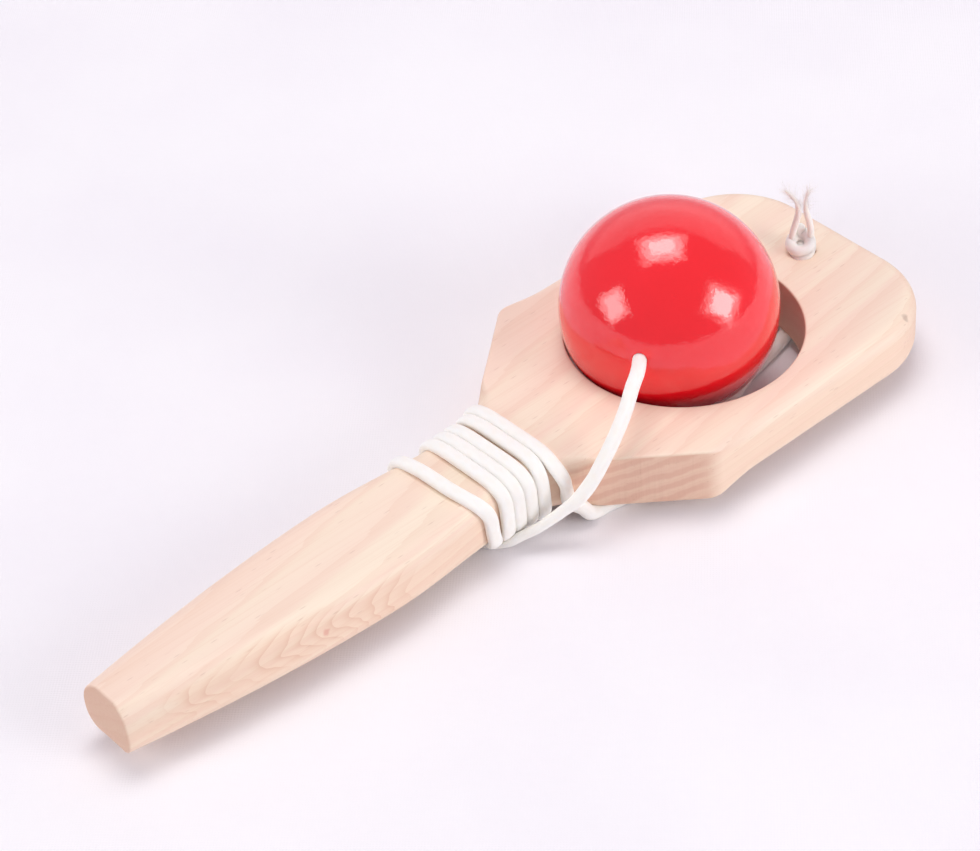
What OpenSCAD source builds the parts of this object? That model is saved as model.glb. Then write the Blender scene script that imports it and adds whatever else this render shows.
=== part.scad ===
// Cup and ball toy: a flat beech paddle with a round catch hole, a lacquered ball that sits in
// the hole, and a cotton cord that ties the ball to the tip, with its spare length wound round
// the neck. It lies on a table at z = 0, butt towards -X and tip towards +X. Millimetres.

/* [Paddle] */
// Length of the paddle from butt to tip
paddle_l = 215.5; // [200:0.5:240]
// Thickness of the board
board_t = 13.7; // [12:0.1:16]
// Width of the head across its straight sides
head_w = 71; // [68:0.5:80]
// Radius of the two tip corners, seen from above
tip_r = 21; // [14:0.5:24]
// Width of the neck, under the winding
neck_w = 23; // [21:0.2:26]
// Distance from the middle of the catch hole back to the foot of the flare
flare_to_hole = 53; // [51:0.5:56]
// Angle of the flare to the paddle's length
flare_angle = 40; // [36:1:46]
// Ease of the hollow where neck and flare meet
flare_ease = 4; // [2:0.5:6]
// Radius of the shoulder, seen from above
shoulder_r = 6; // [5:0.5:10]
// Greatest width of the handle
belly_w = 28.2; // [26:0.2:32]
// Distance from the butt to the widest place of the handle
belly_to_butt = 67; // [55:1:80]
// Width of the flat butt
butt_w = 15.2; // [13:0.2:20]
// Rounding of the long edges
edge_r = 3.5; // [2:0.1:4]
// Edge left by the saw on the hollow flare
saw_edge = 0.5; // [0.3:0.1:1]
// Rounding of the butt's corners across the board
butt_edge_w = 4.8; // [2:0.1:5.5]
// Rounding of the butt's corners through the board
butt_edge_h = 6.2; // [3:0.1:6.4]

/* [Holes] */
// Diameter of the catch hole
hole_d = 55.3; // [54:0.1:58]
// Distance from the tip to the middle of the catch hole
hole_to_tip = 52; // [49:0.5:58]
// Diameter of the cord's hole at the tip
tip_hole_d = 6; // [5.6:0.1:8]
// Distance from the tip to the middle of the cord's hole
tip_hole_to_tip = 13; // [10:0.5:16]
// Easing of the rims of both holes
rim_ease = 0.4; // [0.2:0.1:1]

/* [Ball] */
// Diameter of the ball
ball_d = 50; // [47:0.5:52]
// Gap between the resting ball and the rim that it leans to
ball_gap = 0.6; // [0.3:0.1:1.5]
// Direction in which the resting ball leans, turned from +X
ball_lean = 162; // [140:1:200]
// Diameter of the bore through the ball
bore_d = 4.6; // [4.2:0.1:6]
// Direction of the lead's mouth of the bore, turned from +X
bore_turn = 211; // [200:1:220]
// Rise of the lead's mouth of the bore above level
bore_rise = 9; // [0:1:20]
// Diameter of the recess that hides the ball's knot
recess_d = 9.4; // [9:0.1:12]
// Depth of that recess
recess_h = 9; // [8:0.5:14]

/* [Cord] */
// Diameter of the cord
cord_d = 3.4; // [3:0.1:3.5]
// Turns of the winding that cross the top of the neck
turns = 6; // [3:1:6]
// Gap between neighbouring turns
turn_gap = 0.55; // [0.5:0.05:0.7]
// Clearance of the cord from the wood that it lies on
cord_clear = 0.3; // [0.2:0.05:0.5]
// Distance from the middle of the catch hole back to the start of the winding
wind_to_hole = 70.5; // [70:0.5:76]
// How far the first turn lies back towards the butt
first_bow = 3; // [2:0.5:6]
// How far the last turn runs on towards the head
last_run = 2.5; // [0:0.5:3]
// Radius of the bend up into the tip hole
rise_bend = 4; // [3.6:0.1:4.2]
// Length of cord that stands straight out of the ball
ball_stub = 2.5; // [1:0.5:4]
// Diameter of each ply of the frayed tail
ply_d = 1.8; // [1.2:0.1:1.9]

/* [Hidden] */
$fn = 96;

wood = [0.95, 0.82, 0.72];
lacquer = [0.86, 0.08, 0.1];
cotton = [0.97, 0.95, 0.9];

// Overlap of a cutting body past the face that it cuts
over = 0.5;
// Places along the length
butt_x = -paddle_l / 2;
tip_x = paddle_l / 2;
hole_x = tip_x - hole_to_tip;
tip_hole_x = tip_x - tip_hole_to_tip;
belly_x = butt_x + belly_to_butt;
flare_x = hole_x - flare_to_hole;
// Distance along the neck over which the handle's width settles, before the flare
neck_run = 8;
neck_x = flare_x - neck_run;
// Shape of the handle's taper: 1 is straight, 2 is a parabola
taper = 1.75;

// The cord lies on the table, pressed flat by a tenth of its diameter
cord_r = cord_d / 2;
cord_lie = cord_r - cord_d / 10;
cord_seat = cord_r + cord_clear;
z_under = cord_lie + cord_seat;
z_top = z_under + board_t;
z_mid = (z_under + z_top) / 2;

// The ball rests on the table and leans to the rim of the catch hole
ball_r = ball_d / 2;
ball_z = ball_r;
ball_in_hole_r = ball_z > z_top ? sqrt(ball_r * ball_r - pow(ball_z - z_top, 2)) : ball_r;
ball_off = hole_d / 2 - ball_in_hole_r - ball_gap;
ball_c = [hole_x + ball_off * cos(ball_lean), ball_off * sin(ball_lean), ball_z];
bore_axis = [cos(bore_rise) * cos(bore_turn), cos(bore_rise) * sin(bore_turn), sin(bore_rise)];
recess_floor = -ball_r + recess_h;

function unit(v) = v / norm(v);
function smooth(t) = let (c = min(max(t, 0), 1)) c * c * (3 - 2 * c);
function mix(a, b, t) = a + (b - a) * t;

// Half width of the paddle from the butt to the shoulder: a tapered handle, a level neck, and a
// flare that leaves the neck on a hyperbola
function flare(x) = let (t = x - flare_x) tan(flare_angle) * (t + sqrt(t * t + flare_ease * flare_ease)) / 2;
function handle_half(x) = x < belly_x
    ? belly_w / 2 - (belly_w - butt_w) / 2 * pow((belly_x - x) / belly_to_butt, taper)
    : mix(belly_w, neck_w, smooth((x - belly_x) / (neck_x - belly_x))) / 2;
function half_w(x) = handle_half(x) + flare(x);
slope_step = 0.05;
function half_slope(x) = (half_w(x + slope_step) - half_w(x - slope_step)) / (2 * slope_step);

// The shoulder, where the flare would reach the straight side
shoulder_q = (head_w - neck_w) / tan(flare_angle);
shoulder_x = flare_x + (shoulder_q * shoulder_q - flare_ease * flare_ease) / (2 * shoulder_q);
shoulder_angle = atan(half_slope(shoulder_x));
shoulder_run = shoulder_r * tan(shoulder_angle / 2);
shoulder_c = [shoulder_x + shoulder_run, head_w / 2 - shoulder_r];
shoulder_from = shoulder_c[0] - shoulder_r * sin(shoulder_angle);
tip_c = [tip_x - tip_r, head_w / 2 - tip_r];

// Edge rounding at x: [across the board, through the board]. The saw edge starts past the winding
saw_from = 3.5;
saw_blend = 6;
// Half of the least flat side that the butt's rounding leaves
butt_side = 0.4;
butt_edge_z = min(butt_edge_h, board_t / 2 - butt_side);
function edge_at(x) = let (
        h = min(max((x - butt_x) / (neck_x - butt_x), 0), 1),
        s = smooth((x - flare_x - saw_from) / saw_blend))
    [mix(mix(butt_edge_w, edge_r, h), saw_edge, s), mix(mix(butt_edge_z, edge_r, h), saw_edge, s)];

// Outline of one side, butt to tip: [place, outward normal, edge rounding]
handle_steps = 22;
flare_steps = 12;
shoulder_steps = 5;
tip_steps = 8;
function side_point(x) = [[x, half_w(x)], unit([-half_slope(x), 1]), edge_at(x)];
function arc_point(c, r, a, edge) = [c + r * [cos(a), sin(a)], [cos(a), sin(a)], edge];
side_outline = concat(
    [for (i = [0:handle_steps]) side_point(mix(butt_x - 2 * over, neck_x, i / handle_steps))],
    [for (i = [1:flare_steps - 1]) side_point(mix(neck_x, shoulder_from, i / flare_steps))],
    [for (i = [0:shoulder_steps]) let (t = i / shoulder_steps, e = mix(saw_edge, edge_r, smooth(t)))
        arc_point(shoulder_c, shoulder_r, 90 + shoulder_angle * (1 - t), [e, e])],
    [for (i = [0:tip_steps]) arc_point(tip_c, tip_r, 90 * (1 - i / tip_steps), [edge_r, edge_r])]);
side_count = len(side_outline);
function flipped(p) = [[p[0][0], -p[0][1]], [p[1][0], -p[1][1]], p[2]];
outline = concat([for (p = side_outline) flipped(p)], [for (i = [1:side_count]) side_outline[side_count - i]]);

// Rounded edge as rings from the flat face to the side: [inset share, drop share]
edge_steps = 4;
edge_rings = [for (i = [1:edge_steps]) let (a = 90 * (1 - i / edge_steps)) [1 - cos(a), 1 - sin(a)]];
// The last facet runs on past the flat face, where the board is cut level
edge_lip = edge_rings[0];
function lip_inset(e) = e[0] + over * (1 - edge_lip[0]) * e[0] / (edge_lip[1] * e[1]);
function lip_ring(z) = [for (p = outline) let (q = p[0] - lip_inset(p[2]) * p[1]) [q[0], q[1], z]];
function edge_ring(s, face, way) = [for (p = outline) let (q = p[0] - s[0] * p[2][0] * p[1])
    [q[0], q[1], face + way * s[1] * p[2][1]]];
board_rings = concat(
    [lip_ring(z_under - over)],
    [for (s = edge_rings) edge_ring(s, z_under, 1)],
    [for (i = [1:edge_steps]) edge_ring(edge_rings[edge_steps - i], z_top, -1)],
    [lip_ring(z_top + over)]);

// Closed skin over a stack of rings with the same number of points
module ring_skin(rings) {
    n = len(rings[0]);
    m = len(rings);
    points = [for (ring = rings) each ring];
    walls = [for (j = [0:m - 2], i = [0:n - 1]) let (a = j * n + i, b = j * n + (i + 1) % n)
        each [[a, a + n, b], [b, a + n, b + n]]];
    bottom = [for (i = [0:n - 1]) i];
    top = [for (i = [1:n]) m * n - i];
    polyhedron(points, concat([bottom], walls, [top]));
}

// Tube along a route: its rings stand square to the route, turned from a reference direction
function tangent(p, i) = unit(p[min(i + 1, len(p) - 1)] - p[max(i - 1, 0)]);
function tube_ring(p, i, d, sides, ref) = let (t = tangent(p, i), n = unit(cross(ref, t)), b = cross(t, n))
    [for (k = [0:sides - 1]) let (a = 360 * (k + 0.5) / sides) p[i] + d / 2 * (cos(a) * n + sin(a) * b)];
module tube(p, d, sides, ref) {
    ring_skin([for (i = [0:len(p) - 1]) tube_ring(p, i, d, sides, ref)]);
}

// Cuts off what would reach below the table
module on_table() {
    difference() {
        children();
        translate([-paddle_l, -paddle_l, -2 * cord_d]) cube([2 * paddle_l, 2 * paddle_l, 2 * cord_d]);
    }
}

// The winding. Its angle runs round the neck: 0 at the far side, 90 on top, 180 at the near side
loop_rings = 24;
loop_sides = 6;
turn_step = 360 / loop_rings;
wind_from = -90;
wind_to = 180 + 360 * (turns - 1);
wind_pitch = cord_d + turn_gap;
wind_x = hole_x - wind_to_hole;
// Squareness of a turn: 2 is an ellipse, and more follows the neck's corners closer
wind_square = 4.8;
// A turn steps on towards the head: these shares of it over the top and down the near side, the rest underneath
top_share = 0.15;
near_share = 0.2;
// The first turn comes back to the others from the far edge of the top on, until the second turn starts
bow_from = 45;
bow_to = 390;
// The last turn runs on as it goes down the near side
run_from = 120;
run_over = 105;
function turn_of(a) = floor((a + 90) / 360);
function turn_angle(a) = a - 360 * turn_of(a);
function squared(v) = sign(v) * pow(abs(v), 2 / wind_square);
function over_top(a) = a < 0 ? 0 : a > 180 ? 1 : (1 - squared(cos(a))) / 2;
function down_side(a) = a < 90 ? 0 : (1 - squared(sin(a))) / 2;
function under_neck(a) = a < 0 ? (squared(cos(a)) - 1) / 2 : a > 180 ? (1 + squared(cos(a))) / 2 : 0;
function wind_step(a) = top_share * over_top(a) + near_share * down_side(a)
    + (1 - top_share - near_share) * under_neck(a);
function wind_bow(a) = first_bow * (1 - smooth((a - bow_from) / (bow_to - bow_from)));
function wind_run(a) = last_run * smooth((a - 360 * (turns - 1) - run_from) / run_over);
function wind_along(a) = wind_x - wind_bow(a) + wind_run(a)
    + wind_pitch * (turn_of(a) + wind_step(turn_angle(a)));
function wind_point(a) = let (
        x = wind_along(a),
        reach = half_w(x) + cord_seat * sqrt(1 + pow(half_slope(x), 2)))
    [x, reach * squared(cos(a)), z_mid + (board_t / 2 + cord_seat) * squared(sin(a))];
wind_turns = [for (a = [wind_from:turn_step:wind_to]) wind_point(a)];
wind_last = len(wind_turns) - 1;
wind_in = unit(wind_turns[0] - wind_turns[1]);
wind_out = unit(wind_turns[wind_last] - wind_turns[wind_last - 1]);
wind_start = wind_turns[0] + cord_d * wind_in;
wind_end = wind_turns[wind_last] + cord_d * wind_out;
wind_route = concat([wind_start], wind_turns, [wind_end]);
half_loop = loop_rings / 2;
wind_between = [for (i = [0:wind_last], j = [i + half_loop:1:wind_last]) norm(wind_turns[i] - wind_turns[j])];
wind_gap = min(wind_between) - cord_d;
echo(str("least gap of the winding to itself, mm: ", wind_gap));

// Routes of the cord's other stretches, from the middle of the catch hole
hole_c = [hole_x, 0, 0];
free_sides = 8;
run_points = [
    [-47, -20, 3.4], [-45.4, -20.5, 1.9], [-42.6, -20.6, cord_lie], [-36, -19.8, cord_lie],
    [-27, -18.2, cord_lie], [-18, -16.4, cord_lie], [-9, -14.6, cord_lie], [-2, -13.2, cord_lie],
    [5, -11.2, cord_lie], [11.5, -9, cord_lie], [17.5, -7.6, cord_lie], [23.5, -6.3, cord_lie],
    [28.5, -4.7, cord_lie], [32.6, -2, cord_lie]];
// The bend up into the tip hole leans to the hole's far wall
rise_lean = tip_hole_d / 2 - cord_r - cord_clear;
rise_x = tip_hole_x + rise_lean;
bend_steps = 5;
rise_route = concat(
    [for (i = [0:bend_steps]) let (a = 90 * i / bend_steps)
        [rise_x - rise_bend * (1 - sin(a)), 0, cord_lie + rise_bend * (1 - cos(a))]],
    [[rise_x, 0, z_top + cord_clear]]);
run_route = concat(
    [wind_end, wind_end + cord_d * wind_out / 2],
    [for (p = run_points) p + hole_c],
    rise_route);
lead_points = [
    [-32, -16.6, 29.2], [-36.5, -19, 26.8], [-40.5, -20.8, 23.4], [-44.5, -21.9, 19.4], [-48.5, -22, 14.9],
    [-52, -21.2, 11], [-55.6, -20, 8.4], [-58.6, -18.7, 6.4], [-61.4, -17.4, 4.7], [-64, -16.3, 3.3]];
lead_top = ball_c + (ball_r + ball_stub) * bore_axis;
lead_route = concat(
    [lead_top, lead_top + cord_d * bore_axis],
    [for (p = lead_points) p + hole_c]);

// The knots, as two stacked turns round a core. The upper turn is tighter and sinks into the lower one
knot_turn_r = 2.7;
knot_top_r = 2.2;
knot_top_d = cord_d - 0.2;
knot_core_r = 2;
knot_sink = 0.8;
knot_h = 2 * cord_d - knot_sink;
tip_knot_z = z_top + cord_clear;
tail_z = tip_knot_z + knot_h;
// Plies of the frayed tail, from the middle of the tip hole at the top of the knot
ply_routes = [
    [[0, 1, 0], [0, 1, 1.2], [0.2, 1.5, 3.6], [0.2, 1.9, 6], [0, 3.2, 8.2], [-0.4, 5.6, 9.4], [-0.8, 8, 9.8]],
    [[0, -1, 0], [0, -1, 1.2], [-0.2, -1.9, 4], [-0.2, -2.4, 7.2], [0.2, -2.6, 10.4], [0.6, -3.1, 14]]];

// Turns the local +Z axis to the lead's mouth of the ball's bore
module along_bore() {
    translate(ball_c) rotate([0, 90 - bore_rise, bore_turn]) children();
}

// Cutting body of a through hole with eased rims
module rimmed_hole(d, x) {
    r = d / 2;
    mouth = r + rim_ease + over;
    translate([x, 0, 0]) rotate_extrude()
        polygon([[0, z_under - over], [mouth, z_under - over], [r, z_under + rim_ease],
                 [r, z_top - rim_ease], [mouth, z_top + over], [0, z_top + over]]);
}

// A knot that stands on z = 0
module knot() {
    rotate_extrude() union() {
        translate([knot_turn_r, cord_r]) circle(r = cord_r);
        translate([knot_top_r, knot_h - cord_r]) circle(d = knot_top_d);
        square([knot_core_r, knot_h]);
    }
}

module paddle() {
    color(wood) difference() {
        intersection() {
            ring_skin(board_rings);
            translate([butt_x, -head_w, z_under]) cube([paddle_l + over, 2 * head_w, board_t]);
        }
        rimmed_hole(hole_d, hole_x);
        rimmed_hole(tip_hole_d, tip_hole_x);
    }
}

module ball() {
    color(lacquer) along_bore() difference() {
        sphere(r = ball_r);
        cylinder(d = bore_d, h = ball_d + 2 * over, center = true);
        translate([0, 0, -ball_r - over]) cylinder(d = recess_d, h = recess_h + over);
    }
}

module cord_winding() {
    color(cotton) on_table() tube(wind_route, cord_d, loop_sides, [1, 0, 0]);
}

module cord_under_run() {
    color(cotton) on_table() tube(run_route, cord_d, free_sides, [0, 1, 0]);
}

module ball_lead() {
    color(cotton) on_table() tube(lead_route, cord_d, free_sides, [0, 0, 1]);
}

module cord_in_ball() {
    from = recess_floor - cord_clear;
    color(cotton) along_bore() translate([0, 0, from]) cylinder(d = cord_d, h = ball_r + ball_stub - from);
}

module ball_knot() {
    color(cotton) along_bore() translate([0, 0, recess_floor - cord_clear - knot_h]) knot();
}

module tip_knot() {
    color(cotton) translate([tip_hole_x, 0, tip_knot_z]) knot();
}

module tip_tail() {
    color(cotton) translate([tip_hole_x, 0, tail_z]) for (p = ply_routes) tube(p, ply_d, free_sides, [1, 0, 0]);
}

paddle();
ball();
cord_winding();
cord_under_run();
ball_lead();
cord_in_ball();
ball_knot();
tip_knot();
tip_tail();
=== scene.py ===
"""Cup and ball toy: a beech catch paddle, a lacquered ball and their cotton cord, dressed for its picture."""
import logging
from collections.abc import Callable
from dataclasses import dataclass
from enum import Enum

import bpy
import numpy as np
from mathutils import Matrix


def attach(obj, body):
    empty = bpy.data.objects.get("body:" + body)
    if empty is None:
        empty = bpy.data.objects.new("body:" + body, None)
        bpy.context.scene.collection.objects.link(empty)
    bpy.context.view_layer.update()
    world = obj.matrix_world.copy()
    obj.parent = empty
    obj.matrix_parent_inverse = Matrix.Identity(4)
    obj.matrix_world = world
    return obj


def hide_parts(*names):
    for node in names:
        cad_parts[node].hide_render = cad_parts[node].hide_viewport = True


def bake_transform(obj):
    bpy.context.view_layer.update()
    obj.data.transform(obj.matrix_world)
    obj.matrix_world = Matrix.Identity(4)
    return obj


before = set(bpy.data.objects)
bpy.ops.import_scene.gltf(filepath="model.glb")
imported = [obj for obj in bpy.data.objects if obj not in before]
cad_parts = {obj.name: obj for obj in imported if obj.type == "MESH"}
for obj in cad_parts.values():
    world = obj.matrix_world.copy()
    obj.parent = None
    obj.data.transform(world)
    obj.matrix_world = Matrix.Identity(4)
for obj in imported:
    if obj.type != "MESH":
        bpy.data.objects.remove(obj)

Array = np.ndarray
Thing = bpy.types.Object
Material = bpy.types.Material
Colour = tuple[float, float, float]
Point = tuple[float, float, float]
Span = tuple[float, float]

MM = 0.001
CURVE_STEP = 0.05
SLOPE_STEP = 0.01
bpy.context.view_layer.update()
log = logging.getLogger("catch_toy")


class Body(Enum):
    """The moving bodies of the toy."""

    PADDLE = "paddle"
    CORD_END = "cord_end"
    BALL = "ball"


class Slot(Enum):
    """The material slots of the toy."""

    BEECH = "beech"
    LACQUER = "lacquer"
    COTTON = "cotton"


def linear(red: int, green: int, blue: int) -> Colour:
    """Turns a colour on the 0 to 255 screen scale into the linear 0 to 1 scale that shaders use."""
    share = np.array((red, green, blue)) / 255.0
    lifted = np.where(share <= 0.04045, share / 12.92, ((share + 0.055) / 1.055) ** 2.4)
    return tuple(lifted.tolist())


def unit(vectors: Array) -> Array:
    """Scales each vector of the last axis to length one."""
    return vectors / np.linalg.norm(vectors, axis=-1, keepdims=True)


def compass(angle: Array) -> Array:
    """Gives the direction of each angle as (cosine, sine), n by 2."""
    return np.stack((np.cos(angle), np.sin(angle)), axis=1)


def circle(count: int) -> Array:
    """Gives this many angles, spread evenly over a full turn."""
    return np.linspace(0.0, 2 * np.pi, count + 1)[:-1]


def onward(start: float, end: float, steps: int) -> Array:
    """Goes from the start to the end in even steps, and leaves the start out."""
    return np.linspace(start, end, steps + 1)[1:]


def smooth(share: Array) -> Array:
    """Eases a share from 0 to 1 with level ends: 3t^2 - 2t^3."""
    held = np.clip(share, 0.0, 1.0)
    return held * held * (3.0 - 2.0 * held)


def ramp(value: Array, start: float, length: float) -> Array:
    """Eases from 0 at the start to 1 a length further on; a negative length goes down from the start."""
    return smooth((value - start) / length)


def mix(first: Array, second: Array, share: Array) -> Array:
    """Goes from the first value to the second as the share goes from 0 to 1."""
    return first + (second - first) * share


def walk(path: Array) -> Array:
    """Gives the distance walked along a path at each of its points."""
    return np.concatenate(([0.0], np.cumsum(np.linalg.norm(np.diff(path, axis=0), axis=1))))


def smooth_path(points: Array, step: float) -> Array:
    """Lays one smooth curve through the points and walks along it in even steps.

    Each stretch is a cubic from point to point. The slope at a point is that of the parabola through it and
    its two neighbours, measured by chord length.

    Args:
        points: points that the curve goes through, n by 3, in mm.
        step: distance between the points that come back, in mm.

    Returns:
        Evenly spaced points on the curve, m by 3, in mm.
    """
    at = walk(points)
    gap = np.linalg.norm(np.diff(points, axis=0), axis=1)
    chord = np.diff(points, axis=0) / gap[:, None]
    slope = np.concatenate((chord[:1], chord))
    slope[1:-1] = (chord[:-1] * gap[1:, None] + chord[1:] * gap[:-1, None]) / (gap[:-1] + gap[1:])[:, None]
    fine = np.linspace(0.0, at[-1], int(at[-1] / CURVE_STEP) + 2)
    piece = np.clip(np.searchsorted(at, fine, side="right") - 1, 0, len(gap) - 1)
    span = gap[piece][:, None]
    t = (fine - at[piece])[:, None] / span
    curve = (
        (2 * t**3 - 3 * t**2 + 1) * points[piece]
        + (t**3 - 2 * t**2 + t) * span * slope[piece]
        + (3 * t**2 - 2 * t**3) * points[piece + 1]
        + (t**3 - t**2) * span * slope[piece + 1]
    )
    walked = walk(curve)
    even = np.linspace(0.0, walked[-1], max(int(round(walked[-1] / step)), 2) + 1)
    return np.stack([np.interp(even, walked, curve[:, axis]) for axis in range(3)], axis=1)


def show(name: str, data: bpy.types.ID) -> Thing:
    """Makes an object of a mesh, a lamp or a camera and links it into the scene."""
    thing = bpy.data.objects.new(name, data)
    bpy.context.scene.collection.objects.link(thing)
    return thing


def stand(right: Array, up: Array, back: Array, place: Array) -> Matrix:
    """Gives the matrix of a lamp or a camera from its three directions and its place in metres."""
    turn = np.eye(4)
    turn[:3] = np.stack((right, up, back, place), axis=1)
    return Matrix(turn.tolist())


def keep_mark(mesh: bpy.types.Mesh, name: str, values: Array) -> None:
    """Keeps one value with each point of a mesh, under a name that its material reads."""
    store = mesh.attributes.new(name, "FLOAT", "POINT")
    store.data.foreach_set("value", values.astype(np.float32))


class Surface:
    """Collects grids of points, in mm, and the faces between them, and makes one mesh of them."""

    def __init__(self) -> None:
        """Starts with no points and no faces."""
        self.points: list[Array] = []
        self.faces: list[list[int]] = []
        self.marks: dict[str, list[Array]] = {}
        self.count = 0

    def add(self, grid: Array, **marks: Array) -> Array:
        """Adds a grid of points.

        Args:
            grid: points with x, y, z on the last axis, in mm.
            marks: values kept with each point, shaped as the grid without its last axis.

        Returns:
            The points' numbers, shaped as the grid without its last axis.
        """
        numbers = np.arange(self.count, self.count + grid[..., 0].size).reshape(grid.shape[:-1])
        self.points.append(grid.reshape(-1, 3))
        for name, values in marks.items():
            self.marks.setdefault(name, []).append(np.broadcast_to(values, numbers.shape).reshape(-1))
        self.count += numbers.size
        return numbers

    def skin(
        self, rows: Array, ring_rows: bool = False, ring_columns: bool = False, keep: Array | None = None
    ) -> None:
        """Lays a four-sided face between each four neighbours of a grid of point numbers.

        A face looks to the side of (along a row) cross (from row to row).

        Args:
            rows: point numbers, rows by columns.
            ring_rows: whether the last row joins the first.
            ring_columns: whether the last column joins the first.
            keep: which of the steps from column to column get a face; all if not given.
        """
        if ring_rows:
            rows = np.concatenate((rows, rows[:1]))
        if ring_columns:
            rows = np.concatenate((rows, rows[:, :1]), axis=1)
        quads = np.stack((rows[:-1, :-1], rows[:-1, 1:], rows[1:, 1:], rows[1:, :-1]), axis=-1)
        if keep is not None:
            quads = quads[:, keep]
        self.faces += quads.reshape(-1, 4).tolist()

    def close(self, ring: Array) -> None:
        """Closes a ring of point numbers with one face."""
        self.faces.append(ring.tolist())

    def form(self, name: str, finish: Material) -> Thing:
        """Makes the mesh object, smooth, with its material, at the origin.

        Args:
            name: the object's name.
            finish: its material.

        Returns:
            The new object, linked into the scene.
        """
        mesh = bpy.data.meshes.new(name)
        mesh.from_pydata((np.concatenate(self.points) * MM).tolist(), [], self.faces)
        for mark, values in self.marks.items():
            keep_mark(mesh, mark, np.concatenate(values))
        mesh.materials.append(finish)
        mesh.shade_smooth()
        mesh.update()
        return show(name, mesh)

    def piece(self, name: str, finish: Material, slot: Slot) -> Thing:
        """Makes a piece of the toy as form does."""
        piece = self.form(name, finish)
        return piece


def arithmetic(operation: str) -> Callable[..., "Wire"]:
    """Makes a method of Wire that does one kind of arithmetic, on its value alone or with another one."""

    def method(self: "Wire", other: "Wire | float" = 0.0) -> "Wire":
        """Does the arithmetic in a node of its own."""
        return self.desk.math(operation, self, other)

    return method


class Wire:
    """A value that runs from one node of a material to others, with arithmetic on numbers.

    rest gives what is left after the whole number, larger gives the larger of two values.
    """

    __add__ = arithmetic("ADD")
    __sub__ = arithmetic("SUBTRACT")
    __mul__ = arithmetic("MULTIPLY")
    __truediv__ = arithmetic("DIVIDE")
    __pow__ = arithmetic("POWER")
    __abs__ = arithmetic("ABSOLUTE")
    rest = arithmetic("FRACT")
    larger = arithmetic("MAXIMUM")

    def __init__(self, desk: "Desk", socket: bpy.types.NodeSocket) -> None:
        """Keeps the material's desk and the node output that the value comes from."""
        self.desk = desk
        self.socket = socket

    def __rsub__(self, other: float) -> "Wire":
        """Takes the value away from a number."""
        return self.desk.math("SUBTRACT", other, self)


class Desk:
    """A material's node tree, with one short method for each kind of node that the finishes use."""

    def __init__(self, name: str) -> None:
        """Starts a material that has only its output node."""
        self.material = bpy.data.materials.new(name)
        self.material.use_nodes = True
        self.tree = self.material.node_tree
        self.tree.nodes.clear()
        self.out = self.tree.nodes.new("ShaderNodeOutputMaterial")

    def put(self, kind: str, inputs: dict, out: int = 0, **settings: object) -> Wire:
        """Adds a node.

        Args:
            kind: the node's type, without its ShaderNode prefix.
            inputs: values for its inputs, by name or number.
            out: number of the output to return.
            settings: the node's own properties.

        Returns:
            The chosen output's value.
        """
        node = self.tree.nodes.new("ShaderNode" + kind)
        for name, value in settings.items():
            setattr(node, name, value)
        for key, value in inputs.items():
            socket = node.inputs[key]
            if isinstance(value, Wire):
                self.tree.links.new(value.socket, socket)
            elif socket.type == "RGBA" and len(value) == 3:
                socket.default_value = (*value, 1.0)
            else:
                socket.default_value = value
        return Wire(self, node.outputs[out])

    def place(self) -> Wire:
        """Gives the place on the piece, in mm."""
        return self.vector("SCALE", self.put("TexCoord", {}, 3), scale=1.0 / MM)

    def split(self, at: Wire) -> list[Wire]:
        """Gives the x, y and z of a place."""
        return [self.put("SeparateXYZ", {0: at}, axis) for axis in range(3)]

    def vector(
        self, operation: str, first: Wire, second: object = (0.0, 0.0, 0.0), scale: float = 1.0
    ) -> Wire:
        """Does vector arithmetic."""
        out = 1 if operation in ("DOT_PRODUCT", "DISTANCE") else 0
        return self.put("VectorMath", {0: first, 1: second, 3: scale}, out, operation=operation)

    def math(self, operation: str, first: object, second: object = 0.0) -> Wire:
        """Does arithmetic on numbers."""
        return self.put("Math", {0: first, 1: second, 2: 0.0}, operation=operation)

    def noise(
        self, at: Wire, grain: Point | float, detail: float = 2.0, rough: float = 0.5, out: int = 0
    ) -> Wire:
        """Gives soft random values whose cells are 1/grain mm long, along each axis or all three."""
        spread = self.vector("MULTIPLY", at, grain if isinstance(grain, tuple) else (grain,) * 3)
        inputs = {"Vector": spread, "Scale": 1.0, "Detail": detail, "Roughness": rough}
        return self.put("TexNoise", inputs, out)

    def step(self, value: Wire, low: float, high: float, to_low: float = 0.0, to_high: float = 1.0) -> Wire:
        """Eases from one value to another as the input goes from low to high."""
        inputs = {0: value, 1: low, 2: high, 3: to_low, 4: to_high}
        return self.put("MapRange", inputs, interpolation_type="SMOOTHSTEP")

    def blend(self, share: Wire, first: object, second: object) -> Wire:
        """Mixes two colours."""
        return self.put("Mix", {0: share, 6: first, 7: second}, 2, data_type="RGBA", blend_type="MIX")

    def mark(self, name: str) -> Wire:
        """Gives a value that is kept with the piece's points."""
        return self.put("Attribute", {}, 2, attribute_name=name)

    def bump(self, height: Wire, depth: float, strength: float) -> Wire:
        """Turns a height, where 1 stands depth mm proud, into a surface direction."""
        return self.put("Bump", {"Height": height, "Distance": depth * MM, "Strength": strength})

    def finish(self, inputs: dict) -> Material:
        """Ends the tree with a surface shader that has these inputs, and gives the material."""
        surface = self.put("BsdfPrincipled", inputs)
        self.tree.links.new(surface.socket, self.out.inputs[0])
        return self.material


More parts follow.
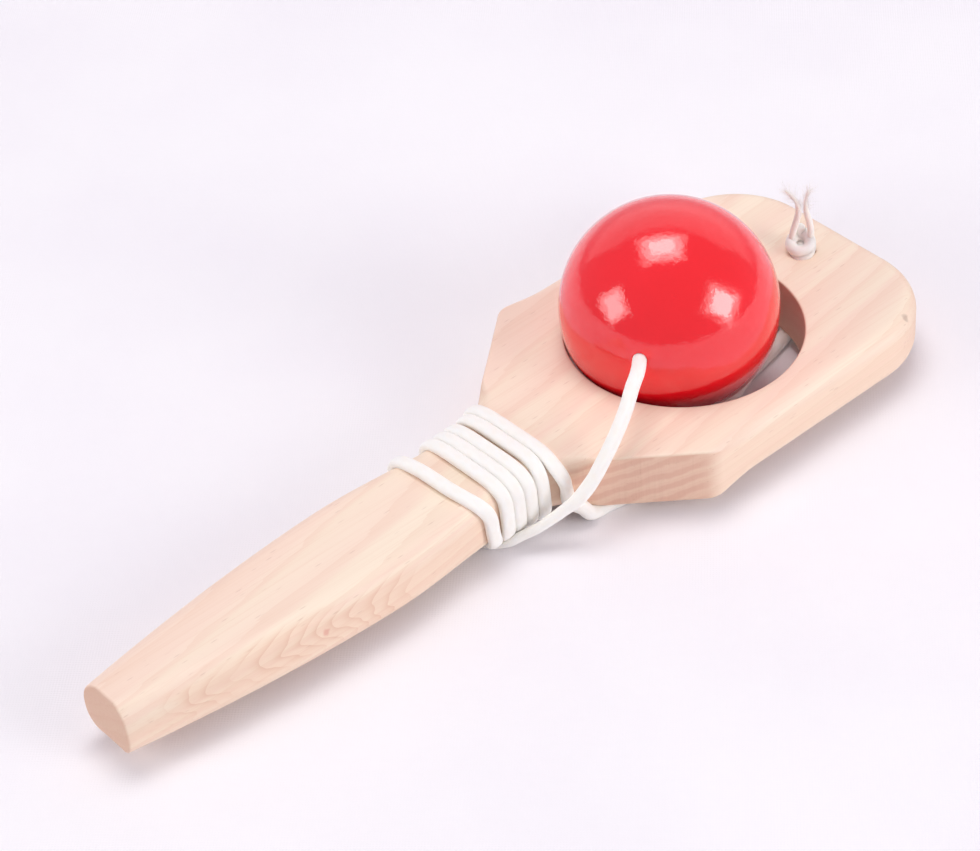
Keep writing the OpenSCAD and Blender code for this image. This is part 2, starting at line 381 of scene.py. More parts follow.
@dataclass(frozen=True)
class Beech:
    """Bare sanded beech: growth layers, fibres, ray flecks, a flame along the handle's edge, dark end grain.

    Places and lengths are in mm.
    """

    cream: Colour = linear(250, 232, 210)
    pink: Colour = linear(248, 221, 202)
    tan: Colour = linear(246, 213, 187)
    late: Colour = linear(231, 188, 161)
    ends: Colour = linear(205, 158, 131)
    wall: Colour = linear(228, 181, 160)
    fleck: Colour = linear(190, 142, 120)
    pin_knot: Colour = linear(172, 146, 130)
    stain: Colour = linear(222, 140, 122)
    pin_knot_at: Point = (94.1, -32.7, 16.2)
    stain_at: Point = (-60.6, -13.3, 11.6)
    spot: Span = (1.7, 0.9)
    layer: float = 3.2
    layer_edge: float = 2.5
    lean: Point = (-0.075, 0.383, 0.921)
    sway: Point = (0.0, 5.0, 5.0)
    pink_side: Span = (22.0, 22.35)
    ripple: float = 5.0
    belly_x: float = -40.75
    belly_half: float = 14.1
    swell: float = 6.5
    swell_length: float = 67.0
    swell_power: float = 1.75
    edge_height: float = 12.3
    bow_wander: Span = (6.0, 24.0)
    bow_bend: float = 0.4
    bow_gap: float = 5.5
    bow_edge: float = 2.8
    flame_half: Span = (4.6, 2.2)
    flame_back: Span = (-102.0, -92.0)
    flame_front: Span = (-30.0, -42.0)
    roughness: Span = (0.44, 0.6)

    def flame(self, desk: Desk, at: Wire) -> tuple[Wire, Wire]:
        """Draws the nested bows that the growth layers leave along the rounded near edge of the handle.

        The bows are parabolas: the place along the handle, less a share of the squared distance q from the
        edge, is cut into lines. The edge follows the handle's swell.

        Args:
            desk: the material's tree.
            at: place on the piece, in mm.

        Returns:
            How strongly a bow shows, and how far the place lies in the flame, both 0 to 1.
        """
        wobble = desk.noise(at, grain=(0.035, 0.12, 0.12), rough=0.45)
        x, y, z = desk.split(at)
        back = ((self.belly_x - x) / self.swell_length).larger(0.0)
        half = self.belly_half - back**self.swell_power * self.swell
        q = (y + half + (z - self.edge_height)) * 0.7 + (wobble - 0.5) * self.bow_wander[0]
        along = x - q * q * self.bow_bend + wobble * self.bow_wander[1]
        line = (along / self.bow_gap).rest() ** self.bow_edge
        inside = desk.step(abs(q), *self.flame_half) * desk.step(x, *self.flame_back)
        inside = inside * desk.step(x, *self.flame_front)
        patch = desk.step(desk.noise(at, grain=(0.05, 0.02, 0.02), detail=1.0), 0.4, 0.55)
        return line * inside * patch, inside

    def make(self) -> Material:
        """Writes the material.

        The growth layers are planes: the place, warped by slow noise, is measured along the layers' lean and
        cut into layers by its remainder. Flecks are cells that are long along the grain.

        Returns:
            The beech.
        """
        desk = Desk("beech_sanded")
        at = desk.place()
        sway = desk.noise(at, grain=(0.011, 0.05, 0.05), out=1)
        sway = desk.vector("SUBTRACT", sway, (0.5, 0.5, 0.5))
        warped = desk.vector("ADD", at, desk.vector("MULTIPLY", sway, self.sway))
        depth = desk.vector("DOT_PRODUCT", warped, self.lean)
        count = depth / self.layer + desk.noise(at, grain=(0.01, 0.4, 0.4), detail=3.0) * 0.5
        ring = count.rest() ** self.layer_edge
        band = desk.step(desk.math("PINGPONG", count, 0.5), 0.1, 0.4)
        ends, sawn, side = (desk.mark(name) for name in ("end_grain", "sawn", "side"))

        tone = desk.noise(desk.put("CombineXYZ", {1: depth}), grain=(0.0, 0.35, 0.0))
        colour = desk.blend(desk.step(tone, 0.38, 0.62, to_high=0.8), self.cream, self.pink)
        colour = desk.blend(desk.step(depth, *self.pink_side), colour, self.pink)
        line, zone = self.flame(desk, at)
        # the flame zone is tinted tan; the upright side faces are also tinted tan, partly as the side grain's
        # tone and partly as painted shade
        colour = desk.blend(zone.larger(side) * 0.5, colour, self.tan)
        colour = desk.blend(ring * 0.22, colour, self.late)
        colour = desk.blend(line * 0.65, colour, self.late)
        colour = desk.blend(sawn * desk.step(band, 0.0, 1.0, 0.25, 0.8), colour, self.wall)
        fibre = desk.noise(at, grain=(0.025, 2.2, 2.2), detail=4.0, rough=0.6)
        colour = desk.blend(desk.step(fibre, 0.45, 0.75, to_high=0.18), colour, self.late)

        cell = {"Vector": desk.vector("MULTIPLY", at, (0.16, 1.1, 1.1)), "Scale": 1.0}
        near = desk.put("TexVoronoi", cell, 0)
        pick = desk.put("SeparateColor", {0: desk.put("TexVoronoi", cell, 1)})
        fleck = desk.step(near, 0.2, 0.06) * desk.step(pick, 0.45, 0.6)
        colour = desk.blend(fleck * 0.26, colour, self.fleck)
        colour = desk.blend(ends * 0.62, colour, self.ends)
        speck = desk.noise(at, grain=0.9)
        for spot_at, tint in ((self.pin_knot_at, self.pin_knot), (self.stain_at, self.stain)):
            off = desk.vector("DISTANCE", at, spot_at) + speck
            colour = desk.blend(desk.step(off, *self.spot, to_high=0.5), colour, tint)

        saw_marks = desk.noise(at, grain=(0.9, 0.9, 0.03)) * (sawn * self.ripple)
        skin = desk.bump(fibre - fleck * 0.6 + saw_marks, depth=0.06, strength=0.6)
        rough = desk.step(fibre, 0.3, 0.8, *self.roughness)
        return desk.finish(
            {"Base Color": colour, "Roughness": rough, "Normal": skin, "Specular IOR Level": 0.35}
        )


@dataclass(frozen=True)
class Lacquer:
    """Glossy red lacquer over turned wood: a wavy clear coat over a red with painted shade that darkens it
    below, and a dent under a painted glint.
    """

    red: Colour = linear(249, 16, 32)
    deep: Colour = linear(243, 11, 26)
    # painted shade: the ball is painted a darker red towards its bottom, between these heights
    painted_low_shade: Colour = linear(190, 6, 24)
    low_shade_heights: Span = (27.0, 11.0)
    low_shade_share: float = 0.8
    # painted highlight: a small pale spot where the ball faces the camera, over a shallow dent
    painted_glint: Colour = linear(255, 130, 136)
    nick_and_glint_at: Point = (40.6, -13.3, 42.4)
    nick_dent: Span = (0.8, 0.3)
    glint_spot: Span = (0.42, 0.2)
    roughness: Span = (0.14, 0.2)

    def make(self) -> Material:
        """Writes the material: noise mixes two reds, painted shade darkens the lower part, a painted glint
        marks the dent, and waves tilt the surface.
        """
        desk = Desk("lacquer_red")
        at = desk.place()
        cloud = desk.noise(at, grain=0.06)
        colour = desk.blend(desk.step(cloud, 0.3, 0.7), self.deep, self.red)
        # painted shade: darker red towards the bottom of the ball
        low_shade = desk.step(desk.split(at)[2], *self.low_shade_heights, to_high=self.low_shade_share)
        colour = desk.blend(low_shade, colour, self.painted_low_shade)
        off = desk.vector("DISTANCE", at, self.nick_and_glint_at)
        # painted glint: a small pale spot where the ball faces the camera; the dent itself is a bump
        colour = desk.blend(desk.step(off, *self.glint_spot), colour, self.painted_glint)
        wave = desk.noise(at, grain=0.3, detail=4.0, rough=0.62)
        skin = desk.bump(wave - desk.step(off, *self.nick_dent) * 0.8, depth=0.16, strength=0.6)
        rough = desk.step(cloud, 0.2, 0.8, *self.roughness)
        return desk.finish(
            {
                "Base Color": colour, "Roughness": rough, "Normal": skin, "Specular IOR Level": 0.1,
                "Coat Weight": 0.72, "Coat IOR": 1.95, "Coat Roughness": 0.035, "Coat Normal": skin,
            }
        )


@dataclass(frozen=True)
class Cotton:
    """Soft off-white cotton: a fine braid with painted shade in its hollows and a light fuzz."""

    pale: Colour = linear(255, 251, 243)
    grey: Colour = linear(245, 231, 216)
    # how strongly painted shade darkens the braid's hollows
    hollow_share: float = 0.16

    def make(self) -> Material:
        """Writes the material: painted shade in the braid's hollows and a slow noise darken it, and fine
        noise roughens it.
        """
        desk = Desk("cotton_cord")
        at = desk.place()
        cloud = desk.step(desk.noise(at, grain=0.3, detail=3.0), 0.45, 0.85, to_high=0.2)
        # painted shade: the braid's hollows are painted darker
        hollow = desk.mark("hollow") * self.hollow_share
        colour = desk.blend(hollow.larger(cloud), self.pale, self.grey)
        fuzz = desk.noise(at, grain=5.0, detail=4.0, rough=0.65)
        return desk.finish(
            {
                "Base Color": colour, "Roughness": 0.9, "Normal": desk.bump(fuzz, depth=0.08, strength=0.5),
                "Specular IOR Level": 0.2, "Sheen Weight": 0.25, "Sheen Roughness": 0.5,
                "Subsurface Weight": 0.5, "Subsurface Radius": (1.0, 0.9, 0.8), "Subsurface Scale": 0.0012,
            }
        )


@dataclass(frozen=True)
class Fluff:
    """Loose cotton fibres, pale all through."""

    pale: Colour = linear(255, 252, 249)
    warm: Colour = linear(250, 244, 237)

    def make(self) -> Material:
        """Writes the material: noise along the fibres between two pale tones, with a soft sheen."""
        desk = Desk("cotton_fluff")
        tone = desk.noise(desk.place(), grain=0.8)
        colour = desk.blend(desk.step(tone, 0.35, 0.65), self.pale, self.warm)
        return desk.finish(
            {
                "Base Color": colour, "Roughness": 0.9, "Specular IOR Level": 0.1,
                "Sheen Weight": 0.6, "Sheen Roughness": 0.4,
            }
        )


@dataclass(frozen=True)
class PaleSheet:
    """The pale, faintly lavender cloth that the toy lies on, which rises to a white wall behind, in mm."""

    pale: Colour = linear(251, 248, 250)
    shade: Colour = linear(247, 243, 247)
    thread: float = 0.9
    wander: float = 6.0
    wall_foot: Span = (100.0, 600.0)
    wall_top: Span = (2700.0, 1900.0)
    wall_glow: float = 0.4

    def make(self) -> Material:
        """Writes the material: slow noise between two close pale tones under a faint weave.

        The weave is the product of two waves across each other. The wall looks white in glossy things, and
        fades out towards its top.

        Returns:
            The cloth.
        """
        desk = Desk("pale_sheet")
        at = desk.place()
        cloud = desk.noise(at, grain=0.012, detail=3.0)
        colour = desk.blend(desk.step(cloud, 0.3, 0.7), self.pale, self.shade)
        x, y, z = desk.split(at)
        loose = desk.noise(at, grain=0.12) * self.wander
        warp, weft = (desk.math("SINE", across * (6.283 / self.thread) + loose) for across in (x, y))
        weave = warp * weft
        colour = desk.blend(desk.step(weave, -0.2, 1.0, to_high=0.35), colour, self.shade)
        wall = desk.step(z, *self.wall_foot) * desk.step(z, *self.wall_top)
        glossy = desk.put("LightPath", {}, 3)
        return desk.finish(
            {
                "Base Color": colour, "Roughness": 0.8, "Normal": desk.bump(weave, depth=0.05, strength=0.3),
                "Specular IOR Level": 0.2, "Emission Color": (1.0, 1.0, 1.0),
                "Emission Strength": wall * glossy * self.wall_glow,
            }
        )


@dataclass
class Paddle:
    """The flat beech paddle: flared head with a catch hole, a small cord hole at the tip, and a cigar handle.

    Sizes are in mm, in the row frame. The outline's far half runs from the butt to the middle of the tip.
    """

    finish: Material
    butt_x: float = -107.75
    tip_x: float = 107.75
    under: float = 3.36
    thickness: float = 13.7
    head_width: float = 71.0
    tip_radius: float = 21.0
    neck_width: float = 23.0
    neck_x: float = -5.25
    flare_x: float = 2.75
    flare_angle: float = 40.0
    flare_ease: float = 4.0
    shoulder_radius: float = 6.0
    belly_width: float = 28.2
    belly_x: float = -40.75
    butt_width: float = 15.2
    taper: float = 1.75
    edge: float = 3.5
    sawn_edge: float = 0.5
    sawn_after: float = 3.5
    sawn_over: float = 6.0
    butt_edge: Span = (4.8, 6.2)
    edge_grows: float = 10.0
    butt_ease: float = 0.6
    hole_x: float = 55.75
    hole_width: float = 55.3
    hole_ease: float = 0.2
    tip_hole_x: float = 94.75
    tip_hole_width: float = 6.0
    rim: float = 0.4
    margin: float = 0.6
    tip_margin: float = 0.4
    wall_step: float = 0.5
    patch_angle: float = 11.0
    saw_marks: Span = (1.0, 29.0)
    saw_fade: float = 4.0
    butt_steps: int = 5
    edge_steps: int = 8
    rim_steps: int = 4

    @property
    def top(self) -> float:
        """Height of the upper face."""
        return self.under + self.thickness

    def half_width(self, x: Array) -> Array:
        """Half the width at x: the handle's half plus the flare's.

        From butt to belly the handle swells by a power of the distance to the belly, from belly to neck it
        narrows with level ends. The flare is a straight line at the flare angle, eased into by a hyperbola.

        Args:
            x: places along the paddle.

        Returns:
            Half widths at those places.
        """
        back = np.clip((self.belly_x - x) / (self.belly_x - self.butt_x), 0.0, None)
        swell = self.belly_width / 2 - (self.belly_width - self.butt_width) / 2 * back**self.taper
        narrowed = ramp(x, self.belly_x, self.neck_x - self.belly_x)
        waist = mix(self.belly_width, self.neck_width, narrowed) / 2
        ahead = x - self.flare_x
        flare = np.tan(np.radians(self.flare_angle)) * (ahead + np.hypot(ahead, self.flare_ease)) / 2
        return np.where(x < self.belly_x, swell, waist) + flare

    def half_slope(self, x: Array) -> Array:
        """How fast the half width grows with x."""
        return (self.half_width(x + SLOPE_STEP) - self.half_width(x - SLOPE_STEP)) / (2 * SLOPE_STEP)

    def edges_at(self, x: Array) -> Array:
        """Edge rounding (across, up) along handle and flare: the butt's, the neck's, crisp where sawn."""
        share = np.clip((x - self.butt_x) / (self.neck_x - self.butt_x), 0.0, 1.0)
        sawn = smooth((x - self.flare_x - self.sawn_after) / self.sawn_over)
        return np.stack(
            [mix(mix(butt, self.edge, share), self.sawn_edge, sawn) for butt in self.butt_edge], axis=1
        )

    def far_half(self) -> tuple[Array, Array, Array, Array]:
        """Works out the outline's far half, from the butt to the middle of the tip.

        Handle and flare follow half_width, the shoulder and the tip's corner are arcs, and straight lines
        join them.

        Returns:
            Points and outward directions (n by 2), edge roundings (n by 2) and the butt's easing (n).
        """
        turn = np.radians(np.linspace(0.0, 90.0, self.butt_steps + 1))
        butt = self.butt_x + self.butt_ease * (1 - np.cos(turn))
        rise = (self.head_width - self.neck_width) / np.tan(np.radians(self.flare_angle))
        arc_x = self.flare_x + (rise**2 - self.flare_ease**2) / (2 * rise)
        lean = float(np.arctan(self.half_slope(np.array(arc_x))))
        shoulder = self.shoulder_radius
        middle = np.array((arc_x + shoulder * np.tan(lean / 2), self.head_width / 2 - shoulder))
        start = middle[0] - shoulder * np.sin(lean)
        corner = np.array((self.tip_x - self.tip_radius, self.head_width / 2 - self.tip_radius))
        handle = onward(butt[-1], self.neck_x, steps=130)
        x = np.concatenate((butt, handle, onward(self.neck_x, start, steps=80)))
        bow_way = compass(onward(np.pi / 2 + lean, np.pi / 2, steps=13))
        side = onward(middle[0], corner[0], steps=40)
        bend_way = compass(onward(np.pi / 2, 0.0, steps=48))
        front = onward(corner[1], 0.0, steps=20)
        points = np.concatenate(
            (
                np.stack((x, self.half_width(x)), axis=1),
                middle + shoulder * bow_way,
                np.stack((side, np.full_like(side, self.head_width / 2)), axis=1),
                corner + self.tip_radius * bend_way,
                np.stack((np.full_like(front, self.tip_x), front), axis=1),
            )
        )
        ways = np.concatenate(
            (
                unit(np.stack((-self.half_slope(x), np.ones_like(x)), axis=1)),
                bow_way,
                np.tile((0.0, 1.0), (len(side), 1)),
                bend_way,
                np.tile((1.0, 0.0), (len(front), 1)),
            )
        )
        walked = walk(points[len(x) - 1 :])[1:]
        head = mix(self.sawn_edge, self.edge, smooth(walked / (shoulder * lean + self.edge_grows)))
        edges = np.concatenate((self.edges_at(x), np.repeat(head[:, None], 2, axis=1)))
        ease = np.zeros(len(points))
        ease[: len(turn)] = self.butt_ease * (1 - np.sin(turn))
        return points, ways, edges, ease

    def rim_rows(self, angles: Array, middle_x: float, radius: float, margin: float) -> Array:
        """Goes down through a round hole: level margin, eased rim, wall, eased rim and level margin.

        Args:
            angles: directions of the columns round the hole's middle.
            middle_x: the hole's place.
            radius: its radius.
            margin: width of the level ring round it.

        Returns:
            Points, rows by columns by 3.
        """
        turn = np.radians(np.linspace(0.0, 90.0, self.rim_steps + 1))
        wall = (self.rim + self.wall_step, self.rim + self.thickness / 4, self.thickness / 2)
        out = np.concatenate(([self.rim + margin], self.rim * (1 - np.sin(turn)), np.zeros(len(wall))))
        drop = np.concatenate(([0.0], self.rim * (1 - np.cos(turn)), wall))
        out = np.concatenate((out, out[-2::-1]))
        height = np.concatenate((self.top - drop, self.under + drop[-2::-1]))
        reach = radius + out[:, None]
        level = np.broadcast_to(height[:, None], (len(height), len(angles)))
        return np.stack((middle_x + reach * np.cos(angles), reach * np.sin(angles), level), axis=-1)

    def edge_rings(self, points: Array, ways: Array, edges: Array, ease: Array) -> Array:
        """Works out the rings over the rounded edges, from the lower face up to the upper face.

        A ring point is the outline's place, moved in and up by a quarter ellipse that is as wide and as high
        as the edge's rounding. Near the butt's corner it is also drawn in, square to that ellipse, by the
        easing.

        Args:
            points: the whole outline, n by 2.
            ways: its outward directions, n by 2.
            edges: its edge roundings across and up, n by 2.
            ease: its easing, n.

        Returns:
            Points, rings by n by 3.
        """
        quarter = np.linspace(0, 90, self.edge_steps + 1)
        bend = np.radians(np.concatenate((-quarter[::-1], (0.0, 0.0), quarter)))[:, None]
        inset = edges[:, 0] * (1 - np.cos(bend))
        lift = edges[:, 1] * (1 - np.sin(np.abs(bend)))
        lift[len(quarter) : len(quarter) + 2] += self.margin
        lower = (np.arange(len(bend)) <= len(quarter))[:, None]
        height = np.where(lower, self.under + lift, self.top - lift)
        out = unit(np.stack((np.cos(bend) / edges[:, 0], np.sin(bend) / edges[:, 1]), axis=-1))
        inset = inset + ease * out[..., 0]
        height = height - ease * out[..., 1]
        return np.concatenate((points - ways * inset[..., None], height[..., None]), axis=-1)

    def build(self) -> Thing:
        """Makes the paddle as one closed skin.

        Rings run round the outline, from the lower face up over the rounded edges and on to the upper face,
        then down through the catch hole and back. The part of the faces between hole and tip is a patch of
        rings round the small hole.

        Returns:
            The paddle's object.
        """
        points, ways, edges, ease = self.far_half()
        flip = np.array((1.0, -1.0))
        points = np.concatenate((points * flip, points[-2::-1]))
        ways = np.concatenate((ways * flip, ways[-2::-1]))
        edges = np.concatenate((edges, edges[-2::-1]))
        ease = np.concatenate((ease, ease[-2::-1]))
        count = len(points)

        surface = Surface()
        rings = surface.add(self.edge_rings(points, ways, edges, ease))
        eased = np.arange(self.butt_steps + 1)
        inner = slice(self.butt_steps, count - self.butt_steps)
        surface.skin(np.stack((rings[-1, count - 1 - eased], rings[-1, eased]), axis=1))
        surface.skin(np.stack((rings[0, eased], rings[0, count - 1 - eased]), axis=1))
        surface.skin(rings, ring_columns=True)

        support = points[inner] - ways[inner] * (edges[inner, :1] + self.margin)
        support[:, 0] = np.maximum(support[:, 0], self.butt_x + self.butt_ease + self.margin)
        angles = np.arctan2(support[:, 1], support[:, 0] - self.hole_x)
        above, below = (
            surface.add(np.concatenate((support, np.full((len(support), 1), height)), axis=1))
            for height in (self.top, self.under)
        )
        hole_radius = self.hole_width / 2 - self.hole_ease
        rows = self.rim_rows(angles, self.hole_x + self.hole_ease, hole_radius, self.margin)
        hole = surface.add(rows)
        surface.skin(np.stack((rings[-1, inner], above)), ring_columns=True)
        surface.skin(np.stack((below, rings[0, inner])), ring_columns=True)
        surface.skin(hole, ring_columns=True)
        at_tip = np.abs(np.degrees(angles)) < self.patch_angle
        between = ~(at_tip & np.roll(at_tip, -1))
        surface.skin(np.stack((above, hole[0])), ring_columns=True, keep=between)
        surface.skin(np.stack((hole[-1], below)), ring_columns=True, keep=between)

        tip = np.flatnonzero(at_tip)
        loop_above = np.concatenate((above[tip], hole[0, tip[::-1]]))
        loop_below = np.concatenate((below[tip], hole[-1, tip[::-1]]))
        outer = np.concatenate((support[tip], rows[0, tip[::-1], :2]))
        round_tip = np.arctan2(outer[:, 1], outer[:, 0] - self.tip_hole_x)
        small = self.rim_rows(round_tip, self.tip_hole_x, self.tip_hole_width / 2, self.tip_margin)
        patch = np.concatenate((loop_above[None], surface.add(small), loop_below[None]))
        surface.skin(patch, ring_columns=True)

        paddle = surface.piece("paddle_board", self.finish, Slot.BEECH)
        self.mark_grain(paddle.data)
        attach(paddle, Body.PADDLE.value)
        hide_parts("paddle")
        log.info("paddle: %d points", surface.count)
        return paddle

    def mark_grain(self, mesh: bpy.types.Mesh) -> None:
        """Keeps with each point how far it shows end grain, was left from the saw and belongs to the sides.

        Args:
            mesh: the paddle's mesh.
        """
        ways = np.empty(len(mesh.vertices) * 3)
        places = np.empty(len(mesh.vertices) * 3)
        mesh.vertices.foreach_get("co", places)
        mesh.vertex_normals.foreach_get("vector", ways)
        ways = ways.reshape(-1, 3)
        ahead = places.reshape(-1, 3)[:, 0] / MM - self.flare_x
        first, last = self.saw_marks
        upright = np.clip(1 - np.abs(ways[:, 2]) * 2, 0.0, 1.0)
        sawn = upright * smooth((ahead - first) / self.saw_fade) * smooth((last - ahead) / self.saw_fade)
        keep_mark(mesh, "end_grain", np.abs(ways[:, 0]) ** 1.5)
        keep_mark(mesh, "sawn", sawn)
        # side marks the upright faces, which the beech tints tan: partly side grain tone, partly painted
        # shade
        keep_mark(mesh, "side", upright)


@dataclass
class Ball:
    """The turned ball: a sphere drilled along its bore, with a recess for the knot at the bore's far end.

    Sizes are in mm.
    """

    finish: Material
    radius: float = 25.0
    centre: Point = (52.569, 1.033, 25.0)
    bore_axis: Point = (-0.846614, -0.508697, 0.156434)
    bore_radius: float = 1.6
    recess_radius: float = 4.7
    recess_floor: float = -16.0
    mouth: float = 0.35

    def axes(self) -> Array:
        """Gives two directions across the bore and the bore's own, as rows."""
        along = unit(np.array(self.bore_axis))
        across = unit(np.cross((0.0, 0.0, 1.0), along))
        return np.stack((across, np.cross(along, across), along))

    def eased(self, radius: float, foot: float, way: float) -> Array:
        """Rounds the mouth of a hole of this radius, from its wall at the foot, up (1) or down (-1) the axis.

        Args:
            radius: the hole's radius.
            foot: where the rounding starts, along the axis.
            way: 1 for up, -1 for down.

        Returns:
            Points of the rounding, n by 2.
        """
        turn = np.linspace(0.0, np.pi / 2, 6)[:-1]
        reach = radius + self.mouth * (1 - np.cos(turn))
        return np.stack((reach, foot + way * self.mouth * np.sin(turn)), axis=1)

    def profile(self) -> Array:
        """Works out the turned profile as (distance from the bore's axis, place along it).

        It goes up the recess wall, round its eased rim, over the sphere to the bore's mouth, down the bore
        and back along the recess floor.

        Returns:
            Points of the closed profile, n by 2.
        """
        low = np.pi - np.arcsin((self.recess_radius + self.mouth) / self.radius)
        high = np.arcsin((self.bore_radius + self.mouth) / self.radius)
        polar = np.linspace(low, high, 140)
        sphere = self.radius * np.stack((np.sin(polar), np.cos(polar)), axis=1)
        rim = self.eased(self.recess_radius, sphere[0, 1] + self.mouth, -1.0)
        lip = self.eased(self.bore_radius, sphere[-1, 1] - self.mouth, 1.0)[::-1]
        wall = np.linspace(0.0, 1.0, 6)[:-1, None]
        recess = mix(np.array((self.recess_radius, self.recess_floor)), rim[0], wall)
        down = onward(0.0, 1.0, steps=6)[:, None]
        bore = mix(lip[-1], np.array((self.bore_radius, self.recess_floor)), down)
        return np.concatenate((recess, rim, sphere, lip, bore))

    def build(self) -> Thing:
        """Turns the profile round the bore.

        Returns:
            The ball's object.
        """
        profile = self.profile()
        turn = circle(192)
        axes = self.axes()
        spoke = np.cos(turn)[:, None] * axes[0] + np.sin(turn)[:, None] * axes[1]
        grid = np.array(self.centre) + profile[:, None, :1] * spoke + profile[:, None, 1:] * axes[2]
        surface = Surface()
        surface.skin(surface.add(grid), ring_rows=True, ring_columns=True)
        ball = surface.piece("lacquered_ball", self.finish, Slot.LACQUER)
        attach(ball, Body.BALL.value)
        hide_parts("ball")
        log.info("ball: %d points", surface.count)
        return ball


@dataclass
class Cord:
    """The cotton cord: wound on the neck, run under the head to the tip, and led to the ball.

    Routes follow the part's solids, in mm, with the turns pressed closer together, the lead tucked in under
    them and the tail's plies rising from both sides of the knot. Places in the run and the lead count from
    the middle of the catch hole. Angles are in degrees. Pairs named _ramp hold a start and a length.
    """

    paddle: Paddle
    ball: Ball
    finish: Material
    fluff: Material
    width: float = 3.4
    sides: int = 28
    step: float = 0.45
    strands: int = 4
    braid_lay: float = 5.2
    braid_height: float = 0.012
    table_gap: float = 0.02

    turns: float = 5.5
    wind_from: float = -90.0
    wind_step: float = 5.0
    pitch: float = 3.35
    wind_x: float = -14.1
    wind_square: float = 4.2
    top_share: float = 0.15
    near_share: float = 0.2
    first_bow: float = 5.2
    bow_ramp: Span = (45.0, 195.0)
    parting: float = 1.0
    parts_after: int = 4
    parting_ramps: tuple[Span, Span] = ((-80.0, 60.0), (170.0, -70.0))
    last_run: float = 2.5
    last_ramp: Span = (1920.0, 105.0)
    seat: float = 1.1
    tight: float = 1.06

    lie: float = 1.36
    rise_off: float = 1.0
    rise_bend: float = 4.0
    rise_ends: Span = (0.3, -5.0)
    run_points: tuple[tuple[float, ...], ...] = (
        (-48.3, -17.4, 4.9), (-46.6, -18.2, 2.6), (-44.3, -17.9, 1.5), (-41.5, -18.0), (-38.4, -18.6),
        (-34.2, -19.1), (-27.0, -18.2), (-18.0, -16.4), (-9.0, -14.6), (-2.0, -13.2), (5.0, -11.2),
        (11.5, -9.0), (17.5, -7.6), (23.5, -6.3), (28.5, -4.7), (32.6, -2.0),
    )
    flat_share: float = 0.62
    wide_share: float = 0.99
    first_share: float = 0.98
    first_length: float = 85.0
    flat_before: float = 2.0
    flat_over: float = 12.0
    squared_section: float = 2.6
    tuck_lift: float = 0.3
    tuck_reach: float = 5.0
    tuck_press: float = 0.2

    lead_points: tuple[Point, ...] = (
        (-26.1, -13.3, 29.2), (-28.7, -15.4, 29.6), (-31.6, -17.1, 29.1), (-36.0, -19.5, 26.7),
        (-40.4, -21.0, 23.4), (-44.8, -21.7, 19.4), (-48.8, -21.6, 15.0), (-52.3, -20.5, 11.3),
        (-54.7, -19.0, 9.1), (-57.4, -17.6, 7.2), (-59.7, -16.4, 5.7),
    )
    tuck_points: tuple[Point, ...] = (
        (-61.7, -15.0, 4.5), (-63.7, -13.7, 3.5), (-65.4, -12.2, 2.2), (-66.8, -9.5, 1.1), (-68.2, -6.2, 0.7),
        (-70.2, -3.2, 0.75), (-73.2, -1.2, 1.2),
    )
    bore_points: tuple[float, ...] = (18.0, 8.0, -4.0, -17.5)
    blend_past: float = 2.5
    low_ramp: Span = (17.0, -13.0)
    tuck_ramp: Span = (2.6, -1.6)
    exit_share: float = 0.94
    low_share: float = 0.68
    tuck_shares: Span = (0.38, 1.2)
    exit_guide: Point = (0.6, -0.7, 0.2)
    low_guide: Point = (0.46, 0.58, -0.67)
    tuck_guide: Point = (0.97, 0.25, 0.0)

    knot_base: float = 17.36
    knot_sink: float = 0.3
    knot_angles: tuple[float, float, int] = (-660.0, 45.0, 24)
    knot_open_ramp: Span = (-560.0, 220.0)
    knot_reach: Span = (1.78, 2.25)
    knot_shift: Span = (0.2, 0.95)
    knot_lifts: Span = (-0.5, 1.4)
    knot_back: Span = (0.715, 0.699)
    knot_middle: float = 0.77
    knot_lean: float = 0.28
    knot_climb: float = 0.9
    knot_climb_ramp: Span = (-60.0, 100.0)
    knot_start: tuple[Point, ...] = ((0.2, 0.3, -5.0), (0.2, 0.5, -2.0), (0.3, 0.9, 1.0))
    knot_rise: tuple[Point, ...] = ((0.0, 0.05, 1.2), (-0.05, 0.0, 2.4))
    knot_share: float = 0.8
    knot_tilt: float = 0.3
    knot_step: float = 0.3

    ply_routes: tuple[tuple[Point, ...], ...] = (
        (
            (-0.95, 2.8, 2.0), (-0.65, 2.55, 5.0), (-0.1, 2.1, 8.0), (0.3, 1.75, 10.6), (0.05, 2.0, 13.0),
            (-1.0, 2.9, 15.4), (-2.2, 3.9, 17.2),
        ),
        (
            (2.3, -0.1, 2.0), (2.4, -0.2, 5.0), (2.1, 0.05, 8.0), (1.6, 0.5, 10.8), (1.45, 0.65, 13.0),
            (1.6, 0.5, 15.0), (1.9, 0.2, 17.0),
        ),
    )
    ply_width: float = 1.6
    ply_ramp: Span = (0.45, 0.4)
    ply_tip: float = 0.4
    ply_guide: Point = (1.0, 0.2, 0.1)
    fibre_count: int = 160
    fibre_seed: int = 11
    fibre_spots: Span = (0.52, 0.46)
    fibre_scatter: float = 0.16
    fibre_spread: float = 0.38
    fibre_length: Span = (1.4, 3.6)
    fibre_curl: float = 1.6
    fibre_sag: float = 0.6
    fibre_radius: float = 0.03
    fibre_guide: Point = (0.3, 0.5, 0.8)

    @property
    def knot_at(self) -> Array:
        """Middle of the tip hole's mouth, where the knot sits."""
        return np.array((self.paddle.tip_hole_x, 0.0, self.knot_base - self.knot_sink))

    def from_hole(self, points: tuple[Point, ...] | list[Point]) -> Array:
        """Moves points that count from the middle of the catch hole into the row frame."""
        return np.array(points) + (self.paddle.hole_x, 0.0, 0.0)

    def squared(self, value: Array) -> Array:
        """Bends a sine or cosine towards a square: its sign times its size to the power 2 / squareness."""
        return np.sign(value) * np.abs(value) ** (2 / self.wind_square)

